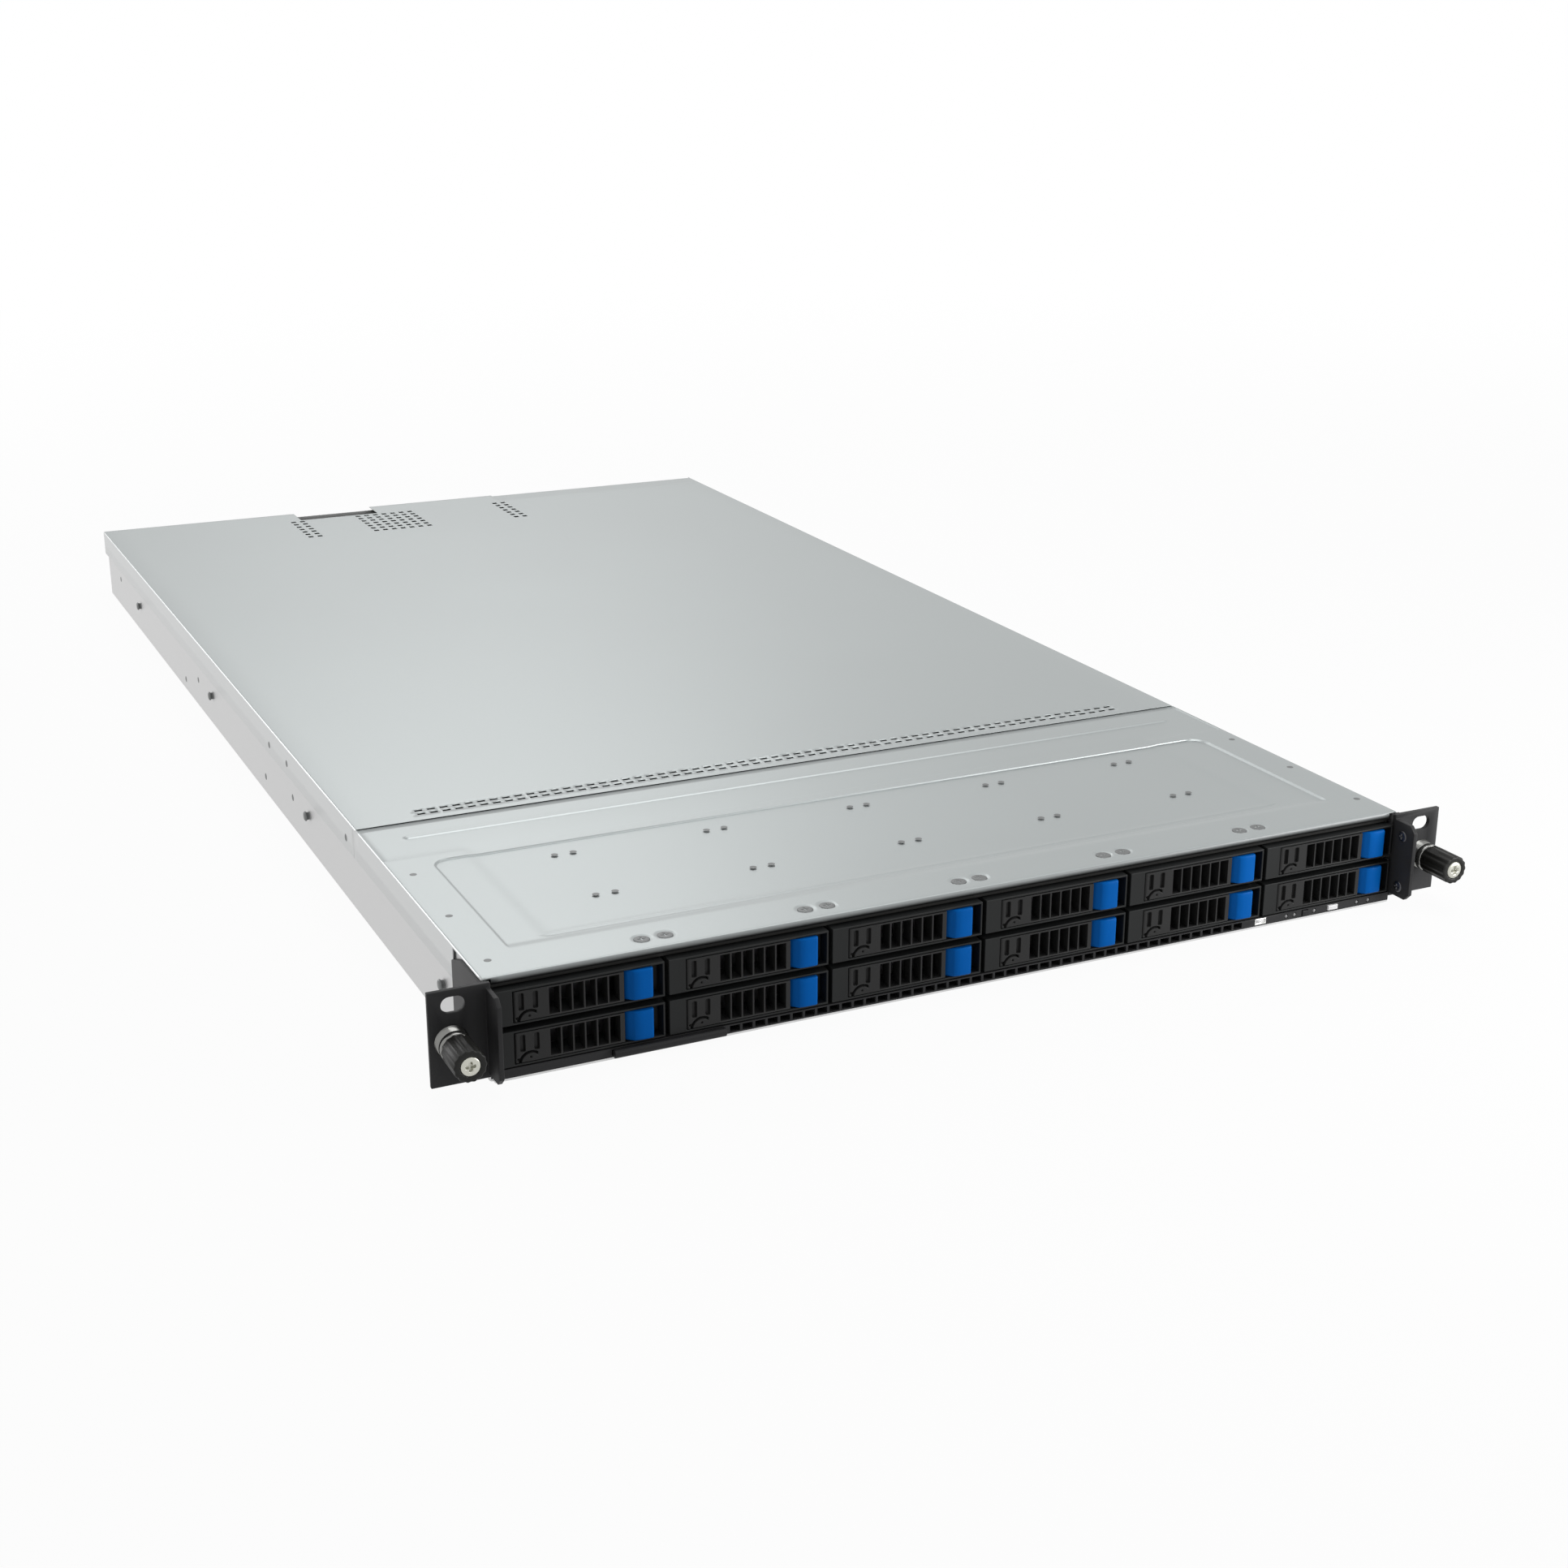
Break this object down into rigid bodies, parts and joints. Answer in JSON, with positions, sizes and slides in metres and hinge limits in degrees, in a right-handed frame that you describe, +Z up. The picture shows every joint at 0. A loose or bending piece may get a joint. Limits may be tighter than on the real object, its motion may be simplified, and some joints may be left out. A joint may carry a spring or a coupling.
{
  "type": "1u rack server",
  "caption": "Low rack-mount server with front drive trays, captive-screw ears, a sliding vented cover and rear power supplies.",
  "frame": {"origin": "on the flat underside, half way across, in the plane of the ears' rear faces that meet the rack posts", "axes": "+X to the right seen from the front, +Y to the back, +Z up"},
  "size_m": [0.4826, 0.8684, 0.0435],
  "materials": {
    "chassis_steel": "galvanised sheet steel",
    "cover_steel": "galvanised sheet steel, satin",
    "black_paint": "black powder coat",
    "knob_plastic": "moulded black plastic over a steel screw",
    "panel_plastic": "moulded black plastic",
    "port_metal": "plated connector shells",
    "button_plastic": "moulded plastic",
    "board": "green circuit board",
    "fan_plastic": "moulded black plastic",
    "heat_sink_aluminium": "extruded fins",
    "memory_board": "green boards in black sockets",
    "psu_metal": "plated sheet case, filled",
    "touch_plastic": "blue moulded plastic",
    "fastener_steel": "plated steel",
    "tray_plastic": "moulded black plastic bezel on a carrier",
    "lever_plastic": "moulded black plastic"
  },
  "bodies": {
    "case": {"chassis": "chassis_steel", "front_cover": "cover_steel", "right_ear": "black_paint", "left_ear": "black_paint", "drive_cage": "chassis_steel", "front_panel": "panel_plastic", "front_ports": "port_metal", "backplane": "board", "fans": "fan_plastic", "mainboard": "board", "heat_sinks": "heat_sink_aluminium", "memory_modules": "memory_board", "rear_ports": "port_metal", "fasteners": "fastener_steel"},
    "tray_1": {"tray_1": "tray_plastic"},
    "tray_1_lever": {"tray_1_lever": "lever_plastic"},
    "tray_1_latch": {"tray_1_latch": "touch_plastic"},
    "tray_2": {"tray_2": "tray_plastic"},
    "tray_2_lever": {"tray_2_lever": "lever_plastic"},
    "tray_2_latch": {"tray_2_latch": "touch_plastic"},
    "tray_3": {"tray_3": "tray_plastic"},
    "tray_3_lever": {"tray_3_lever": "lever_plastic"},
    "tray_3_latch": {"tray_3_latch": "touch_plastic"},
    "tray_4": {"tray_4": "tray_plastic"},
    "tray_4_lever": {"tray_4_lever": "lever_plastic"},
    "tray_4_latch": {"tray_4_latch": "touch_plastic"},
    "tray_5": {"tray_5": "tray_plastic"},
    "tray_5_lever": {"tray_5_lever": "lever_plastic"},
    "tray_5_latch": {"tray_5_latch": "touch_plastic"},
    "tray_6": {"tray_6": "tray_plastic"},
    "tray_6_lever": {"tray_6_lever": "lever_plastic"},
    "tray_6_latch": {"tray_6_latch": "touch_plastic"},
    "tray_7": {"tray_7": "tray_plastic"},
    "tray_7_lever": {"tray_7_lever": "lever_plastic"},
    "tray_7_latch": {"tray_7_latch": "touch_plastic"},
    "tray_8": {"tray_8": "tray_plastic"},
    "tray_8_lever": {"tray_8_lever": "lever_plastic"},
    "tray_8_latch": {"tray_8_latch": "touch_plastic"},
    "tray_9": {"tray_9": "tray_plastic"},
    "tray_9_lever": {"tray_9_lever": "lever_plastic"},
    "tray_9_latch": {"tray_9_latch": "touch_plastic"},
    "tray_10": {"tray_10": "tray_plastic"},
    "tray_10_lever": {"tray_10_lever": "lever_plastic"},
    "tray_10_latch": {"tray_10_latch": "touch_plastic"},
    "tray_11": {"tray_11": "tray_plastic"},
    "tray_11_lever": {"tray_11_lever": "lever_plastic"},
    "tray_11_latch": {"tray_11_latch": "touch_plastic"},
    "tray_12": {"tray_12": "tray_plastic"},
    "tray_12_lever": {"tray_12_lever": "lever_plastic"},
    "tray_12_latch": {"tray_12_latch": "touch_plastic"},
    "right_thumbscrew": {"right_thumbscrew": "knob_plastic"},
    "left_thumbscrew": {"left_thumbscrew": "knob_plastic"},
    "power_button": {"power_button": "button_plastic"},
    "ident_button": {"ident_button": "button_plastic"},
    "info_tab": {"info_tab": "panel_plastic"},
    "rear_cover": {"rear_cover": "cover_steel"},
    "psu_1": {"psu_1": "psu_metal"},
    "psu_1_latch": {"psu_1_latch": "touch_plastic"},
    "psu_2": {"psu_2": "psu_metal"},
    "psu_2_latch": {"psu_2_latch": "touch_plastic"}
  },
  "joints": [
    {"name": "tray_1_slide", "type": "slide", "parent": "case", "child": "tray_1", "axis": [0, -1, 0], "range_m": [0, 0.115]},
    {"name": "tray_1_lever_hinge", "type": "hinge", "parent": "tray_1", "child": "tray_1_lever", "pos_m": [-0.2065, -0.001, 0.0129], "axis": [0, 0, -1], "range_deg": [0, 55]},
    {"name": "tray_1_latch_slide", "type": "slide", "parent": "tray_1", "child": "tray_1_latch", "axis": [1, 0, 0], "range_m": [0, 0.0025], "stiffness_N_per_m": 600},
    {"name": "tray_2_slide", "type": "slide", "parent": "case", "child": "tray_2", "axis": [0, -1, 0], "range_m": [0, 0.115]},
    {"name": "tray_2_lever_hinge", "type": "hinge", "parent": "tray_2", "child": "tray_2_lever", "pos_m": [-0.1345, -0.001, 0.0129], "axis": [0, 0, -1], "range_deg": [0, 55]},
    {"name": "tray_2_latch_slide", "type": "slide", "parent": "tray_2", "child": "tray_2_latch", "axis": [1, 0, 0], "range_m": [0, 0.0025], "stiffness_N_per_m": 600},
    {"name": "tray_3_slide", "type": "slide", "parent": "case", "child": "tray_3", "axis": [0, -1, 0], "range_m": [0, 0.115]},
    {"name": "tray_3_lever_hinge", "type": "hinge", "parent": "tray_3", "child": "tray_3_lever", "pos_m": [-0.0625, -0.001, 0.0129], "axis": [0, 0, -1], "range_deg": [0, 55]},
    {"name": "tray_3_latch_slide", "type": "slide", "parent": "tray_3", "child": "tray_3_latch", "axis": [1, 0, 0], "range_m": [0, 0.0025], "stiffness_N_per_m": 600},
    {"name": "tray_4_slide", "type": "slide", "parent": "case", "child": "tray_4", "axis": [0, -1, 0], "range_m": [0, 0.115]},
    {"name": "tray_4_lever_hinge", "type": "hinge", "parent": "tray_4", "child": "tray_4_lever", "pos_m": [0.0095, -0.001, 0.0129], "axis": [0, 0, -1], "range_deg": [0, 55]},
    {"name": "tray_4_latch_slide", "type": "slide", "parent": "tray_4", "child": "tray_4_latch", "axis": [1, 0, 0], "range_m": [0, 0.0025], "stiffness_N_per_m": 600},
    {"name": "tray_5_slide", "type": "slide", "parent": "case", "child": "tray_5", "axis": [0, -1, 0], "range_m": [0, 0.115]},
    {"name": "tray_5_lever_hinge", "type": "hinge", "parent": "tray_5", "child": "tray_5_lever", "pos_m": [0.0815, -0.001, 0.0129], "axis": [0, 0, -1], "range_deg": [0, 55]},
    {"name": "tray_5_latch_slide", "type": "slide", "parent": "tray_5", "child": "tray_5_latch", "axis": [1, 0, 0], "range_m": [0, 0.0025], "stiffness_N_per_m": 600},
    {"name": "tray_6_slide", "type": "slide", "parent": "case", "child": "tray_6", "axis": [0, -1, 0], "range_m": [0, 0.115]},
    {"name": "tray_6_lever_hinge", "type": "hinge", "parent": "tray_6", "child": "tray_6_lever", "pos_m": [0.1535, -0.001, 0.0129], "axis": [0, 0, -1], "range_deg": [0, 55]},
    {"name": "tray_6_latch_slide", "type": "slide", "parent": "tray_6", "child": "tray_6_latch", "axis": [1, 0, 0], "range_m": [0, 0.0025], "stiffness_N_per_m": 600},
    {"name": "tray_7_slide", "type": "slide", "parent": "case", "child": "tray_7", "axis": [0, -1, 0], "range_m": [0, 0.115]},
    {"name": "tray_7_lever_hinge", "type": "hinge", "parent": "tray_7", "child": "tray_7_lever", "pos_m": [-0.2065, -0.001, 0.0304], "axis": [0, 0, -1], "range_deg": [0, 55]},
    {"name": "tray_7_latch_slide", "type": "slide", "parent": "tray_7", "child": "tray_7_latch", "axis": [1, 0, 0], "range_m": [0, 0.0025], "stiffness_N_per_m": 600},
    {"name": "tray_8_slide", "type": "slide", "parent": "case", "child": "tray_8", "axis": [0, -1, 0], "range_m": [0, 0.115]},
    {"name": "tray_8_lever_hinge", "type": "hinge", "parent": "tray_8", "child": "tray_8_lever", "pos_m": [-0.1345, -0.001, 0.0304], "axis": [0, 0, -1], "range_deg": [0, 55]},
    {"name": "tray_8_latch_slide", "type": "slide", "parent": "tray_8", "child": "tray_8_latch", "axis": [1, 0, 0], "range_m": [0, 0.0025], "stiffness_N_per_m": 600},
    {"name": "tray_9_slide", "type": "slide", "parent": "case", "child": "tray_9", "axis": [0, -1, 0], "range_m": [0, 0.115]},
    {"name": "tray_9_lever_hinge", "type": "hinge", "parent": "tray_9", "child": "tray_9_lever", "pos_m": [-0.0625, -0.001, 0.0304], "axis": [0, 0, -1], "range_deg": [0, 55]},
    {"name": "tray_9_latch_slide", "type": "slide", "parent": "tray_9", "child": "tray_9_latch", "axis": [1, 0, 0], "range_m": [0, 0.0025], "stiffness_N_per_m": 600},
    {"name": "tray_10_slide", "type": "slide", "parent": "case", "child": "tray_10", "axis": [0, -1, 0], "range_m": [0, 0.115]},
    {"name": "tray_10_lever_hinge", "type": "hinge", "parent": "tray_10", "child": "tray_10_lever", "pos_m": [0.0095, -0.001, 0.0304], "axis": [0, 0, -1], "range_deg": [0, 55]},
    {"name": "tray_10_latch_slide", "type": "slide", "parent": "tray_10", "child": "tray_10_latch", "axis": [1, 0, 0], "range_m": [0, 0.0025], "stiffness_N_per_m": 600},
    {"name": "tray_11_slide", "type": "slide", "parent": "case", "child": "tray_11", "axis": [0, -1, 0], "range_m": [0, 0.115]},
    {"name": "tray_11_lever_hinge", "type": "hinge", "parent": "tray_11", "child": "tray_11_lever", "pos_m": [0.0815, -0.001, 0.0304], "axis": [0, 0, -1], "range_deg": [0, 55]},
    {"name": "tray_11_latch_slide", "type": "slide", "parent": "tray_11", "child": "tray_11_latch", "axis": [1, 0, 0], "range_m": [0, 0.0025], "stiffness_N_per_m": 600},
    {"name": "tray_12_slide", "type": "slide", "parent": "case", "child": "tray_12", "axis": [0, -1, 0], "range_m": [0, 0.115]},
    {"name": "tray_12_lever_hinge", "type": "hinge", "parent": "tray_12", "child": "tray_12_lever", "pos_m": [0.1535, -0.001, 0.0304], "axis": [0, 0, -1], "range_deg": [0, 55]},
    {"name": "tray_12_latch_slide", "type": "slide", "parent": "tray_12", "child": "tray_12_latch", "axis": [1, 0, 0], "range_m": [0, 0.0025], "stiffness_N_per_m": 600},
    {"name": "right_thumbscrew_turn", "type": "hinge", "parent": "case", "child": "right_thumbscrew", "pos_m": [0.23255, 0, 0.0212], "axis": [0, 1, 0], "continuous": true},
    {"name": "left_thumbscrew_turn", "type": "hinge", "parent": "case", "child": "left_thumbscrew", "pos_m": [-0.23255, 0, 0.0212], "axis": [0, 1, 0], "continuous": true},
    {"name": "power_button_press", "type": "slide", "parent": "case", "child": "power_button", "axis": [0, 1, 0], "range_m": [0, 0.0008], "stiffness_N_per_m": 1200},
    {"name": "ident_button_press", "type": "slide", "parent": "case", "child": "ident_button", "axis": [0, 1, 0], "range_m": [0, 0.0008], "stiffness_N_per_m": 1200},
    {"name": "info_tab_slide", "type": "slide", "parent": "case", "child": "info_tab", "axis": [0, -1, 0], "range_m": [0, 0.04]},
    {"name": "rear_cover_slide", "type": "slide", "parent": "case", "child": "rear_cover", "axis": [0, 1, 0], "range_m": [0, 0.013]},
    {"name": "psu_1_slide", "type": "slide", "parent": "case", "child": "psu_1", "axis": [0, 1, 0], "range_m": [0, 0.18]},
    {"name": "psu_1_latch_slide", "type": "slide", "parent": "psu_1", "child": "psu_1_latch", "axis": [-1, 0, 0], "range_m": [0, 0.003], "stiffness_N_per_m": 1000},
    {"name": "psu_2_slide", "type": "slide", "parent": "case", "child": "psu_2", "axis": [0, 1, 0], "range_m": [0, 0.18]},
    {"name": "psu_2_latch_slide", "type": "slide", "parent": "psu_2", "child": "psu_2_latch", "axis": [-1, 0, 0], "range_m": [0, 0.003], "stiffness_N_per_m": 1000}
  ]
}
